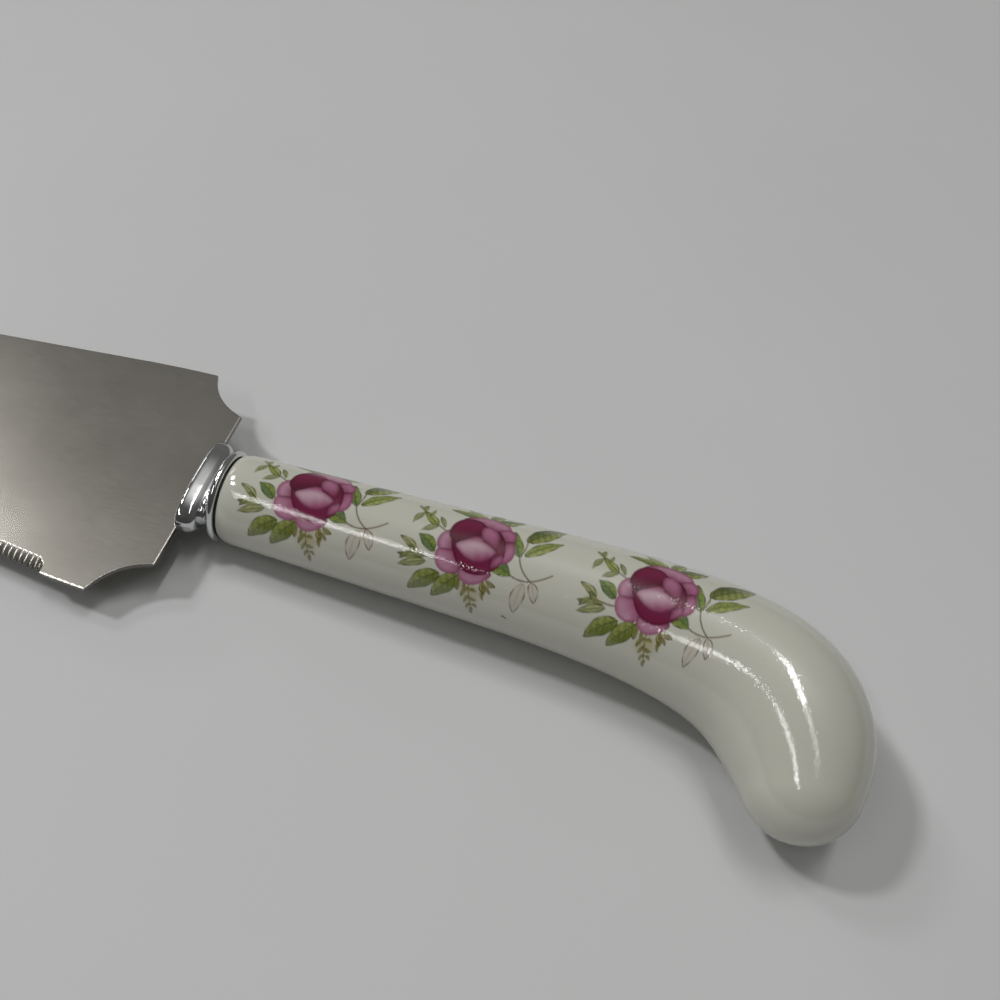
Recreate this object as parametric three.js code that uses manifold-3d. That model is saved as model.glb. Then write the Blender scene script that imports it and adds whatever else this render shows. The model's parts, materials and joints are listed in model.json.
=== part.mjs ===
// Cake knife: a thin serrated blade, a chromed bolster and a hollow porcelain pistol-grip handle.
// Millimetres. While the knife is built, the heel line of the blade is x = 0 and the blade points
// to -x, the handle runs to +x and bends to -y, and the sheet of the blade lies in the plane z = 0.
// At the end the whole knife is laid on the table, on its tip, its bolster and the bulb of its grip.
import * as THREE from "three";
import { mergeVertices } from "three/addons/utils/BufferGeometryUtils.js";
import Module from "manifold-3d";

const wasm = await Module();
wasm.setup();

// Blade: one stamping of sheet steel, widest at its shoulders, with a hollow corner to the heel
const sheetThickness = 0.9;
const bladeLength = 140;
const heelWidth = 33;
const shoulderWidth = 48;
const shoulderSetback = 8.1;
const notchHollow = 1.5;
const sideTaper = 0.1;
const straightSide = 62;
const tipReach = 42;
const tipFullness = 6;

// Tang: the strip of the same sheet that goes into the handle, with round key notches in its edges
const tangWidth = 6;
const tangLength = 56;
const keyNotchRadius = 1;
const keyNotchesFromEnd = [8, 18];

// Serration: a hollow grind along one side, with flutes square to the edge
const serrationStart = 8;
const serrationToTip = 16;
const grindSetback = 0.25;
const grindWidth = 1.75;
const grindRunOut = 1.6;
const flutePitch = 1.03;
const fluteDepth = 0.2;
const grindOvershoot = 1.8;
const grindLeadIn = 0.05;

// Bolster: an oval bead that grips the heel, a hollow waist and a round rim, with a spigot behind
const heelCover = 0.6;
const beadWidth = 17.6;
const beadHeight = 7.2;
const beadLength = 2.5;
const beadSquareness = 3;
const beadEdgeRound = 0.7;
const waistWidth = 13;
const coveLength = 2.1;
const rimDiameter = 15.8;
const rimLength = 0.9;
const spigotLength = 3.6;
const spigotWall = 1;
const bolsterFrontWall = 5;

// Joint between the rim and the porcelain
const jointThickness = 0.5;
const jointInset = 0.45;

// Handle: the path of its middle, straight and then bending down into the bulb, whose arms say how far
// the direction at either end of the bend carries into it
const gripStraight = 48.3;
const bendReach = 51.2;
const bendDrop = 20.1;
const gripArm = 39.4;
const bulbArm = 15.1;
const bulbTilt = THREE.MathUtils.degToRad(6);

// Diameters of the handle along that path, the front ones placed from the mouth, the others from the butt
const mouthDiameter = 15.6;
const grip = { fromMouth: 32.6, diameter: 17.3 };
const thumb = { fromMouth: 59.8, diameter: 19.4 };
const palm = { fromButt: 32.6, diameter: 21.5 };
const bend = { fromButt: 19.6, diameter: 23.8 };
const bulb = { fromButt: 8.7, diameter: 24.1 };
const buttDiameter = 18.5;
const porcelainWall = 2.75;
const mouthLip = 0.8;

// Cement that holds the tang
const cementPastTang = 7;

// Fits between the pieces
const slotClearance = 0.2;
const spigotClearance = 0.3;
const cementClearance = 0.3;
const seatGap = 0.05;

// Facets
const roundSides = 32;
const outlineSteps = 20;
const handleRings = 26;
const capRings = 5;
const edgeRings = 3;
const coveRings = 6;

// Places along the knife that more than one piece uses
const beadFront = -heelCover;
const waistPlace = beadFront + beadLength + beadEdgeRound;
const rimFront = waistPlace + coveLength;
const rimBack = rimFront + rimLength;
const mouthPlace = rimBack + jointThickness + 2 * seatGap;
const spigotEnd = rimBack + spigotLength;
const cavityRadius = mouthDiameter / 2 - porcelainWall;
const spigotRadius = cavityRadius - spigotClearance;
const spigotBore = spigotRadius - spigotWall;
const boreFront = beadFront + bolsterFrontWall;

// Helpers: solids for cuts, and a skin through rings of points

function solidFrom(geometry) {
  const bare = geometry.clone();
  bare.deleteAttribute("normal");
  bare.deleteAttribute("uv");
  const merged = mergeVertices(bare, 1e-4);
  return new wasm.Manifold(
    new wasm.Mesh({
      numProp: 3,
      vertProperties: merged.attributes.position.array,
      triVerts: new Uint32Array(merged.index.array),
    }),
  );
}

function geometryFrom(solid) {
  const mesh = solid.getMesh();
  const geometry = new THREE.BufferGeometry();
  geometry.setAttribute("position", new THREE.BufferAttribute(mesh.vertProperties, 3));
  geometry.setIndex(new THREE.BufferAttribute(mesh.triVerts, 1));
  return geometry;
}

function cut(geometry, ...cutters) {
  const start = solidFrom(geometry);
  return geometryFrom(cutters.reduce((body, cutter) => body.subtract(solidFrom(cutter)), start));
}

// Rings hold points that run counter-clockwise seen against the direction from ring to ring;
// a ring of one point closes an end.
function skin(rings) {
  const starts = [];
  const points = [];
  for (const ring of rings) {
    starts.push(points.length);
    points.push(...ring);
  }
  const at = (i, j) => starts[i] + (j % rings[i].length);
  const triangles = [];
  for (let i = 0; i + 1 < rings.length; i++) {
    const count = Math.max(rings[i].length, rings[i + 1].length);
    for (let j = 0; j < count; j++) {
      if (rings[i].length > 1) triangles.push(at(i, j), at(i, j + 1), at(i + 1, j));
      if (rings[i + 1].length > 1) triangles.push(at(i, j + 1), at(i + 1, j + 1), at(i + 1, j));
    }
  }
  const geometry = new THREE.BufferGeometry().setFromPoints(points);
  geometry.setIndex(triangles);
  return geometry;
}

// A ring square to x, from an ellipse towards a rectangle as its squareness grows
const ellipse = 2;
function ovalRing(x, halfWidth, halfHeight, squareness) {
  const ring = [];
  const bulge = (value) => Math.sign(value) * Math.abs(value) ** (2 / squareness);
  for (let j = 0; j < roundSides; j++) {
    const turn = (2 * Math.PI * j) / roundSides;
    ring.push(
      new THREE.Vector3(x, halfWidth * bulge(Math.cos(turn)), halfHeight * bulge(Math.sin(turn))),
    );
  }
  return ring;
}

function circleRing(x, radius) {
  return ovalRing(x, radius, radius, ellipse);
}

function boxBetween(low, high) {
  const size = new THREE.Vector3().subVectors(high, low);
  const middle = new THREE.Vector3().addVectors(high, low).multiplyScalar(0.5);
  return new THREE.BoxGeometry(size.x, size.y, size.z).translate(middle.x, middle.y, middle.z);
}

// Blade

// The straight run and the curve of one side, from the shoulder to the tip; side is +1 or -1
function bladeSide(side) {
  const along = new THREE.Vector2(-1, -sideTaper).normalize();
  const shoulder = new THREE.Vector2(-shoulderSetback, shoulderWidth / 2);
  const straightEnd = shoulder.clone().addScaledVector(along, straightSide);
  const control = straightEnd.clone().addScaledVector(along, tipReach);
  const fullness = new THREE.Vector2(-bladeLength, tipFullness);
  const tip = new THREE.Vector2(-bladeLength, 0);
  const [a, b, c, d, e] = [shoulder, straightEnd, control, fullness, tip].map(
    (point) => new THREE.Vector2(point.x, side * point.y),
  );
  const path = new THREE.CurvePath();
  path.add(new THREE.LineCurve(a, b));
  path.add(new THREE.CubicBezierCurve(b, c, d, e));
  return path;
}

function bladeOutline() {
  const halfHeel = heelWidth / 2;
  const halfTang = tangWidth / 2;
  const shoulder = new THREE.Vector2(-shoulderSetback, shoulderWidth / 2);
  const chord = new THREE.Vector2(shoulder.x, shoulder.y - halfHeel);
  const inward = new THREE.Vector2(-chord.y, chord.x).normalize();
  const hollow = new THREE.Vector2(shoulder.x / 2, (shoulder.y + halfHeel) / 2);
  hollow.addScaledVector(inward, 2 * notchHollow);

  const outline = new THREE.Shape();
  outline.moveTo(tangLength, halfTang);
  for (const place of keyNotchesFromEnd)
    outline.absarc(tangLength - place, halfTang, keyNotchRadius, 0, Math.PI, true);
  outline.lineTo(0, halfTang);
  outline.lineTo(0, halfHeel);
  outline.quadraticCurveTo(hollow.x, hollow.y, shoulder.x, shoulder.y);
  const [, upper] = bladeSide(1).curves;
  outline.lineTo(upper.v0.x, upper.v0.y);
  outline.bezierCurveTo(upper.v1.x, upper.v1.y, upper.v2.x, upper.v2.y, upper.v3.x, upper.v3.y);
  const [, lower] = bladeSide(-1).curves;
  outline.bezierCurveTo(lower.v2.x, lower.v2.y, lower.v1.x, lower.v1.y, lower.v0.x, lower.v0.y);
  outline.lineTo(shoulder.x, -shoulder.y);
  outline.quadraticCurveTo(hollow.x, -hollow.y, 0, -halfHeel);
  outline.lineTo(0, -halfTang);
  for (const place of [...keyNotchesFromEnd].reverse())
    outline.absarc(tangLength - place, -halfTang, keyNotchRadius, Math.PI, 0, true);
  outline.lineTo(tangLength, -halfTang);
  outline.closePath();
  return outline;
}

// The waste that the grinding wheel takes off: a wedge along the edge whose floor rises to a ridge
// and sinks to a flute by turns, and which runs out in a quarter round at both ends
function grindWaste() {
  const side = bladeSide(-1);
  const sideLength = side.getLength();
  const run = sideLength - serrationStart - serrationToTip;
  const steps = 2 * Math.round(run / flutePitch);
  const half = sheetThickness / 2;
  const rings = [];
  for (let i = 0; i <= steps; i++) {
    const along = (run * i) / steps;
    const toEnd = Math.min(along, run - along);
    const short = Math.max(0, 1 - toEnd / grindRunOut);
    const full = Math.sqrt(1 - short * short);
    const place = (serrationStart + along) / sideLength;
    const edge = side.getPointAt(place);
    const tangent = side.getTangentAt(place);
    const outward = new THREE.Vector2(-tangent.y, tangent.x);
    const deep = full * (i % 2 ? fluteDepth : 0);
    const floorTop = new THREE.Vector2(-full * (grindSetback + grindWidth), half - deep);
    const floorEdge = new THREE.Vector2(-full * grindSetback, -half - deep);
    floorTop.x += (1 - full) * grindLeadIn;
    floorEdge.x += (1 - full) * grindLeadIn;
    const down = new THREE.Vector2().subVectors(floorEdge, floorTop).normalize();
    const section = [
      floorTop.clone().addScaledVector(down, -grindOvershoot),
      floorEdge.clone().addScaledVector(down, grindOvershoot),
      new THREE.Vector2(grindOvershoot, half + grindOvershoot),
    ];
    rings.push(
      section.map(
        (p) => new THREE.Vector3(edge.x + outward.x * p.x, edge.y + outward.y * p.x, p.y),
      ),
    );
  }
  const middleOf = (ring) =>
    ring.reduce((sum, p) => sum.add(p), new THREE.Vector3()).divideScalar(ring.length);
  return skin([[middleOf(rings[0])], ...rings, [middleOf(rings[steps])]]);
}

function makeBlade() {
  const sheet = new THREE.ExtrudeGeometry(bladeOutline(), {
    depth: sheetThickness,
    bevelEnabled: false,
    curveSegments: outlineSteps,
  });
  sheet.translate(0, 0, -sheetThickness / 2);
  return cut(sheet, grindWaste());
}

// Bolster

function makeBolster() {
  const halfWidth = beadWidth / 2;
  const halfHeight = beadHeight / 2;
  const rimRadius = rimDiameter / 2;
  const rimRound = rimLength / 2;
  const rings = [[new THREE.Vector3(beadFront, 0, 0)]];
  for (let i = 0; i <= edgeRings; i++) {
    const turn = (Math.PI / 2) * (i / edgeRings);
    const inset = beadEdgeRound * (1 - Math.sin(turn));
    const x = beadFront + beadEdgeRound * (1 - Math.cos(turn));
    rings.push(ovalRing(x, halfWidth - inset, halfHeight - inset, beadSquareness));
  }
  // The back of the bead rolls over into the waist, which swells up into the round rim
  for (let i = 0; i <= edgeRings; i++) {
    const turn = (Math.PI / 2) * (i / edgeRings);
    const x = waistPlace - beadEdgeRound * (1 - Math.sin(turn));
    const width = THREE.MathUtils.lerp(waistWidth / 2, halfWidth, Math.cos(turn));
    rings.push(ovalRing(x, width, halfHeight, beadSquareness));
  }
  const rimStart = rimRadius - rimRound;
  for (let i = 1; i <= coveRings; i++) {
    const share = i / coveRings;
    const rise = 1 - Math.sqrt(1 - share * share);
    const width = THREE.MathUtils.lerp(waistWidth / 2, rimStart, rise);
    const height = THREE.MathUtils.lerp(halfHeight, rimStart, rise);
    const squareness = THREE.MathUtils.lerp(beadSquareness, ellipse, share);
    rings.push(ovalRing(waistPlace + coveLength * share, width, height, squareness));
  }
  for (let i = 1; i <= 2 * edgeRings; i++) {
    const turn = (Math.PI / 2) * (i / edgeRings);
    const radius = rimRadius - rimRound * (1 - Math.sin(turn));
    rings.push(circleRing(rimFront + rimRound * (1 - Math.cos(turn)), radius));
  }
  rings.push(circleRing(rimBack, spigotRadius));
  rings.push(circleRing(spigotEnd, spigotRadius));
  rings.push([new THREE.Vector3(spigotEnd, 0, 0)]);

  const slot = sheetThickness / 2 + slotClearance;
  const past = beadWidth;
  const heelSlot = boxBetween(
    new THREE.Vector3(-past, -past, -slot),
    new THREE.Vector3(slotClearance, past, slot),
  );
  const tangSlotHalf = tangWidth / 2 + slotClearance;
  const tangSlot = boxBetween(
    new THREE.Vector3(-past, -tangSlotHalf, -slot),
    new THREE.Vector3(spigotEnd + past, tangSlotHalf, slot),
  );
  const bore = skin([
    [new THREE.Vector3(boreFront, 0, 0)],
    circleRing(boreFront, spigotBore),
    circleRing(spigotEnd + past, spigotBore),
    [new THREE.Vector3(spigotEnd + past, 0, 0)],
  ]);
  return cut(skin(rings), heelSlot, tangSlot, bore);
}

// Joint ring

function makeJointRing() {
  const inner = spigotRadius + spigotClearance;
  const outer = mouthDiameter / 2 - jointInset;
  const front = rimBack + seatGap;
  const profile = [
    new THREE.Vector2(inner, front),
    new THREE.Vector2(outer, front),
    new THREE.Vector2(outer, front + jointThickness),
    new THREE.Vector2(inner, front + jointThickness),
    new THREE.Vector2(inner, front),
  ];
  const ring = new THREE.LatheGeometry(profile, roundSides);
  return ring.rotateZ(-Math.PI / 2);
}

// Handle

// The path of the handle's middle, from the mouth to the middle of the butt
function handlePath() {
  const place = (run, drop) => new THREE.Vector3(mouthPlace + run, -drop, 0);
  const start = place(gripStraight, 0);
  const end = place(gripStraight + bendReach, bendDrop);
  const intoBend = new THREE.Vector3(gripArm, 0, 0).add(start);
  const intoBulb = new THREE.Vector3(-Math.sin(bulbTilt), Math.cos(bulbTilt), 0);
  intoBulb.multiplyScalar(bulbArm).add(end);
  const path = new THREE.CurvePath();
  path.add(new THREE.LineCurve3(place(0, 0), start));
  path.add(new THREE.CubicBezierCurve3(start, intoBend, intoBulb, end));
  return path;
}

const middle = handlePath();
const middleLength = middle.getLength();

// Balls along the path whose envelope is the outside of the handle, as distance and radius
const frontStops = [grip, thumb].map((stop) => [stop.fromMouth, stop.diameter]);
const rearStops = [palm, bend, bulb].map((stop) => [middleLength - stop.fromButt, stop.diameter]);
const stops = [[0, mouthDiameter], ...frontStops, ...rearStops, [middleLength, buttDiameter]];
const balls = new THREE.SplineCurve(
  stops.map(([run, diameter]) => new THREE.Vector2(run, diameter / 2)),
).getSpacedPoints(handleRings);

function ballRadius(run) {
  const next = Math.max(1, balls.findIndex((ball) => ball.x >= run));
  const [before, after] = [balls[next - 1], balls[next]];
  const share = (run - before.x) / (after.x - before.x);
  return THREE.MathUtils.lerp(before.y, after.y, share);
}

// The ring where a ball of radius size, which grows by slope along the path, touches the envelope
function touchRing(run, size, slope) {
  const u = THREE.MathUtils.clamp(run / middleLength, 0, 1);
  const centre = middle.getPointAt(u);
  const ahead = middle.getTangentAt(u);
  const left = new THREE.Vector3(-ahead.y, ahead.x, 0);
  const shifted = centre.addScaledVector(ahead, -size * slope);
  const radius = size * Math.sqrt(1 - slope * slope);
  const ring = [];
  for (let j = 0; j < roundSides; j++) {
    const turn = (2 * Math.PI * j) / roundSides;
    const point = shifted.clone().addScaledVector(left, radius * Math.cos(turn));
    point.z = radius * Math.sin(turn);
    ring.push(point);
  }
  return ring;
}

// Rings of the envelope from the mouth to the butt, drawn in by inset, and the pole that closes them
function envelope(inset) {
  const rings = [];
  let slope = 0;
  for (let i = 0; i < balls.length; i++) {
    const before = balls[Math.max(i - 1, 0)];
    const after = balls[Math.min(i + 1, balls.length - 1)];
    slope = i === 0 ? 0 : (after.y - before.y) / (after.x - before.x);
    rings.push(touchRing(balls[i].x, balls[i].y - inset, slope));
  }
  const size = buttDiameter / 2 - inset;
  const centre = middle.getPointAt(1);
  const ahead = middle.getTangentAt(1);
  const first = Math.asin(-slope);
  for (let i = 1; i < capRings; i++) {
    const lift = first + (Math.PI / 2 - first) * (i / capRings);
    rings.push(touchRing(middleLength, size, -Math.sin(lift)));
  }
  rings.push([centre.addScaledVector(ahead, size)]);
  return rings;
}

function makeHandle() {
  const outside = envelope(0).slice(1);
  const cavity = envelope(porcelainWall);
  const lip = [];
  for (let i = 0; i <= edgeRings; i++) {
    const turn = (Math.PI / 2) * (i / edgeRings);
    const radius = mouthDiameter / 2 - mouthLip * (1 - Math.sin(turn));
    lip.push(circleRing(mouthPlace + mouthLip * (1 - Math.cos(turn)), radius));
  }
  return skin([...cavity.reverse(), ...lip, ...outside]);
}

// Cement

function makeCement() {
  const front = boreFront + cementClearance;
  const neck = spigotBore - cementClearance;
  const step = spigotEnd + cementClearance - mouthPlace;
  const end = tangLength + cementPastTang - mouthPlace;
  const between = balls.map((ball) => ball.x).filter((run) => run > step && run < end);
  const bodyRadius = (run) => ballRadius(run) - porcelainWall - cementClearance;
  const body = [step, ...between, end].map((run) => touchRing(run, bodyRadius(run), 0));
  const rings = [
    [new THREE.Vector3(front, 0, 0)],
    circleRing(front, neck),
    circleRing(mouthPlace + step, neck),
    ...body,
    [middle.getPointAt(end / middleLength)],
  ];

  const slot = sheetThickness / 2 + cementClearance;
  const halfTang = tangWidth / 2 + cementClearance;
  const tangSlot = boxBetween(
    new THREE.Vector3(beadFront, -halfTang, -slot),
    new THREE.Vector3(tangLength + cementClearance, halfTang, slot),
  );
  return cut(skin(rings), tangSlot);
}

// Assembly

function pointsOf(geometry) {
  const position = geometry.getAttribute("position");
  return Array.from({ length: position.count }, (_, i) =>
    new THREE.Vector3().fromBufferAttribute(position, i),
  );
}

function lowest(points, up) {
  return points.reduce((low, point) => (up.dot(point) < up.dot(low) ? point : low));
}

function piece(name, geometry, color, roughness, metalness) {
  const material = new THREE.MeshStandardMaterial({ color, roughness, metalness });
  const mesh = new THREE.Mesh(geometry, material);
  mesh.name = name;
  return mesh;
}

const knife = new THREE.Group();
knife.add(piece("blade", makeBlade(), 0x9c9890, 0.35, 1));
knife.add(piece("bolster", makeBolster(), 0xd9dadb, 0.08, 1));
knife.add(piece("joint_ring", makeJointRing(), 0x343b36, 0.7, 0));
knife.add(piece("handle", makeHandle(), 0xe9e6df, 0.08, 0));
knife.add(piece("tang_cement", makeCement(), 0xb8b2a4, 0.9, 0));

// The table touches the blade near its tip, the rim of the bolster and the bulb of the grip. Each round
// finds the lowest point of these three as the knife then lies, and lays the table through them.
function tableNormal() {
  const [blade, bolster, , handle] = knife.children.map((mesh) => pointsOf(mesh.geometry));
  const bulbSide = handle.filter((point) => point.x > mouthPlace + gripStraight);
  const normal = new THREE.Vector3(0, 0, 1);
  const rounds = 12;
  for (let i = 0; i < rounds; i++) {
    const [tip, rim, bulbLow] = [blade, bolster, bulbSide].map((points) => lowest(points, normal));
    const toRim = new THREE.Vector3().subVectors(rim, tip);
    const toBulb = new THREE.Vector3().subVectors(bulbLow, tip);
    normal.crossVectors(toRim, toBulb).normalize();
    if (normal.z < 0) normal.negate();
  }
  return normal;
}

const upright = new THREE.Vector3(0, 0, 1);
knife.quaternion.setFromUnitVectors(tableNormal(), upright);
const space = new THREE.Box3().setFromObject(knife, true);
const spaceMiddle = space.getCenter(new THREE.Vector3());
knife.position.set(-spaceMiddle.x, -spaceMiddle.y, -space.min.z);

const cakeKnife = new THREE.Group();
cakeKnife.add(knife);

export default cakeKnife;
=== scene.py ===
"""Looks of a cake knife with a porcelain handle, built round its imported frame.

Sizes are millimetres in the knife's own frame: the heel line of the blade is x = 0, the blade points to -x,
the handle runs to +x and bends to -y, and the sheet of the blade lies in the plane z = 0. to_part lays points
of that frame on the table, in metres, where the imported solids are.
"""

import json
import math

import bmesh
import bpy
import numpy as np
from mathutils import Matrix, Vector


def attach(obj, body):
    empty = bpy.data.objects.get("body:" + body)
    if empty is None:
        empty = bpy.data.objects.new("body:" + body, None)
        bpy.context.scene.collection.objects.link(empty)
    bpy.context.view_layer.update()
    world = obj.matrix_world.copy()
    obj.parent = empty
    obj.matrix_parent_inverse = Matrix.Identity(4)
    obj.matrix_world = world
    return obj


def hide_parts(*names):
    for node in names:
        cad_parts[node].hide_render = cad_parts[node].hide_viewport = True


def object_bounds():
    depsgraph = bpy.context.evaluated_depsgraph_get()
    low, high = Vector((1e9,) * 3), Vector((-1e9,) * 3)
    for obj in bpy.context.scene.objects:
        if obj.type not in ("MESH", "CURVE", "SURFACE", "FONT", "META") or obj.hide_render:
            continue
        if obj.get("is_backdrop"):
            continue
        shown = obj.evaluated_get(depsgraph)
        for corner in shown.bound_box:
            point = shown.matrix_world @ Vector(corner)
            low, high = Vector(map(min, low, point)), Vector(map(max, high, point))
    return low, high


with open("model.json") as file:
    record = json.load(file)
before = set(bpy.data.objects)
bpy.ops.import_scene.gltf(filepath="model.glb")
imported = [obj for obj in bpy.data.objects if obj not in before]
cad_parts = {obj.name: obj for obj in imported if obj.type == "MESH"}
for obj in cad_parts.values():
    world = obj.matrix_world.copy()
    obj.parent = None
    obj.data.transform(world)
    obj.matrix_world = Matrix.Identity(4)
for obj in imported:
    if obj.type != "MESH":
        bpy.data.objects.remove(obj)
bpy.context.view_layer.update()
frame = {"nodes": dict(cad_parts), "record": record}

# Blade
SHEET = 0.9
BLADE_LENGTH = 140
HEEL_WIDTH = 33
SHOULDER_WIDTH = 48.2
SHOULDER_SETBACK = 8.1
NOTCH_HOLLOW = 1.5
SHOULDER_TAPER = 0.04
SHOULDER_EASE = 6.85
SIDE_TAPER = 0.112
SIDE_STRAIGHT_TO = 69.8
TIP_REACH = 42
TIP_FULLNESS = 6
NOTCH_STEPS = 28
PLAIN_EDGE_STEPS = 32
TIP_STEPS = 40
TIP_CROWDING = 1.6
FACE_COLUMNS = 10

# Edges of the sheet: inset and drop of a rounded edge, of the rounded heel and of a chamfer
EDGE_ROLL = (0.12, 0.06)
HEEL_ROLL = (0.38, 0.12)
EDGE_CHAMFER = (0.3, 0.066)
EDGE_BREAK = 0.1
EDGE_KNEE = 0.3
EDGE_HOLD = 0.05
HEEL_STEPS = 5
WALL_STEPS = 6
BREAK_STEPS = 4

# Wear of the plain edge: its most, its mean, and the size, pace and start of its waves
EDGE_WEAR = 0.55
EDGE_WEAR_MEAN = 0.45
EDGE_WEAR_WAVES = ((0.4, 5.1, 0), (0.3, 12.7, 1))

# Tang
TANG_WIDTH = 6
TANG_LENGTH = 56
KEY_NOTCH_RADIUS = 1
KEY_NOTCHES_FROM_END = (8, 18)
KEY_NOTCH_STEPS = 24

# Serration
SERRATION_START = 8
SERRATION_TO_TIP = 16
GRIND_SETBACK = 0.4
GRIND_WIDTH = 2.0
GRIND_RUN_OUT = 2.2
GRIND_BOW = 0.4
GRIND_LIP = (0.16, 0.036)
FLUTE_PITCH = 1.03
FLUTE_DEPTH = 0.2
FLUTE_AT_TOP = 0.4
STEPS_PER_FLUTE = 10
EDGE_LAND = 0.04

# Bolster
BEAD_FRONT = -0.6
BEAD_WIDTH = 18.4
BEAD_HEIGHT = 7.4
BEAD_SQUARENESS = 2.6
BEAD_EDGE_ROUND = 0.55
BEAD_OFFSET = 0.5
BEAD_OFFSET_FADE = 3
BEAD_FULLNESS = 2.6
BEAD_SLOPES = ((-0.05, 0), (0.35, 0.2), (1.55, 0.24), (1.75, 0.4), (2.4, 0.45), (2.85, 0.1))
SLOPE_SAMPLES = 200
BEAD_EDGE_STEPS = 12
BEAD_STEPS = 36
COVE_STEPS = 18
RIM_STEPS = 24
WAIST_WIDTH = 13
WAIST_PLACE = 2.85
COVE_LENGTH = 1.65
RIM_DIAMETER = 15.8
RIM_LENGTH = 1.35
SPIGOT_LENGTH = 3.6
SPIGOT_RADIUS = 4.75

# Joint
JOINT_THICKNESS = 0.25
JOINT_INSET = 0.75
JOINT_HOLLOW = 0.12
JOINT_STEPS = 8
SEAT_GAP = 0.05

# Handle
GRIP_STRAIGHT = 48.3
BEND_REACH = 51.2
BEND_DROP = 20.1
GRIP_ARM = 39.4
BULB_ARM = 15.1
BULB_TILT = math.radians(6)
MOUTH_DIAMETER = 15.6
FRONT_STOPS = ((32.6, 17.3), (59.8, 19.4))
REAR_STOPS = ((32.6, 21.5), (19.6, 23.8), (8.7, 24.1), (0, 18.5))
PORCELAIN_WALL = 2.75
LIP_LENGTH = 2.8
LIP_DROP = 0.75
LIP_TURN = math.radians(80)
LIP_STEPS = 16
CAP_STEPS = 26
CAVITY_STEP = 5
CAVITY_CAP_STEPS = 5
GROWTH_REACH = 0.05
AHEAD_REACH = 0.4

# Places along the knife that more than one piece uses
HALF = SHEET / 2
RIM_FRONT = WAIST_PLACE + COVE_LENGTH
RIM_BACK = RIM_FRONT + RIM_LENGTH
MOUTH_PLACE = RIM_BACK + JOINT_THICKNESS + 2 * SEAT_GAP
RIM_RADIUS = RIM_DIAMETER / 2
RIM_ROUND = RIM_LENGTH / 2
SPIGOT_END = RIM_BACK + SPIGOT_LENGTH
CAVITY_RADIUS = MOUTH_DIAMETER / 2 - PORCELAIN_WALL

# The point of the blade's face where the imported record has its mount
MOUNT_POINT = Vector((-40, 0, HALF))
MM = 0.001

mount = frame["record"]["mounts"][0]
lie = Vector((0, 0, 1)).rotation_difference(Vector(mount["axis"])).to_matrix()
knife_matrix = (
    Matrix.Translation(mount["pos_m"])
    @ lie.to_4x4()
    @ Matrix.Scale(MM, 4)
    @ Matrix.Translation(-MOUNT_POINT)
)


def to_part(points):
    """Points of the knife's frame, in millimetres, as metres in the part's frame."""
    turn = np.array(knife_matrix.to_3x3())
    return np.asarray(points, float) @ turn.T + np.array(knife_matrix.translation)


# Meshes


def loft(rings, first_pole=None, last_pole=None):
    """Points and faces of a skin over closed rings of points, with its ends closed by poles or flat faces."""
    count, around, _ = rings.shape
    points = [rings.reshape(-1, 3)]
    row, column = np.meshgrid(np.arange(count - 1), np.arange(around), indexing="ij")
    near = row * around + column
    far = row * around + (column + 1) % around
    faces = np.stack([near, far, far + around, near + around], -1).reshape(-1, 4).tolist()
    ends = ((first_pole, 0), (last_pole, (count - 1) * around))
    for pole, start in ends:
        ring = [start + j for j in range(around)]
        if pole is None:
            faces.append(ring)
            continue
        tip = sum(len(block) for block in points)
        points.append(np.asarray(pole, float).reshape(1, 3))
        faces.extend([a, b, tip] for a, b in zip(ring, ring[1:] + ring[:1]))
    return np.concatenate(points), faces


def make_piece(name, points, faces, material, node, sharp_angle=None):
    """A smooth shaded object of the knife, in place of a solid of the frame."""
    mesh = bpy.data.meshes.new(name)
    mesh.from_pydata(to_part(points).tolist(), [], faces)
    shell = bmesh.new()
    shell.from_mesh(mesh)
    bmesh.ops.remove_doubles(shell, verts=shell.verts, dist=1e-7)
    bmesh.ops.recalc_face_normals(shell, faces=shell.faces)
    shell.to_mesh(mesh)
    shell.free()
    mesh.shade_smooth()
    if sharp_angle:
        mesh.set_sharp_from_angle(angle=math.radians(sharp_angle))
    mesh.materials.append(material)
    piece = bpy.data.objects.new(name, mesh)
    bpy.context.scene.collection.objects.link(piece)
    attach(piece, "root")
    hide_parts(node)
    return piece


class Path:
    """A line of points that can be read at any run along it."""

    def __init__(self, points):
        self.points = np.asarray(points, float)
        steps = np.linalg.norm(np.diff(self.points, axis=0), axis=1)
        self.runs = np.concatenate([[0], np.cumsum(steps)])
        self.length = self.runs[-1]

    def at(self, run):
        return np.stack([np.interp(run, self.runs, axis) for axis in self.points.T], axis=-1)

    def ahead(self, run, reach=0.2):
        step = self.at(np.minimum(run + reach, self.length)) - self.at(np.maximum(run - reach, 0))
        return step / np.linalg.norm(step, axis=-1, keepdims=True)


def bezier(a, b, c, d, steps=3000):
    t = np.linspace(0, 1, steps)[:, None]
    return (1 - t) ** 3 * a + 3 * t * (1 - t) ** 2 * b + 3 * t * t * (1 - t) * c + t**3 * d


def quadratic(a, b, c, steps=60):
    return bezier(a, a + (b - a) * 2 / 3, c + (b - c) * 2 / 3, c, steps)


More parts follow.
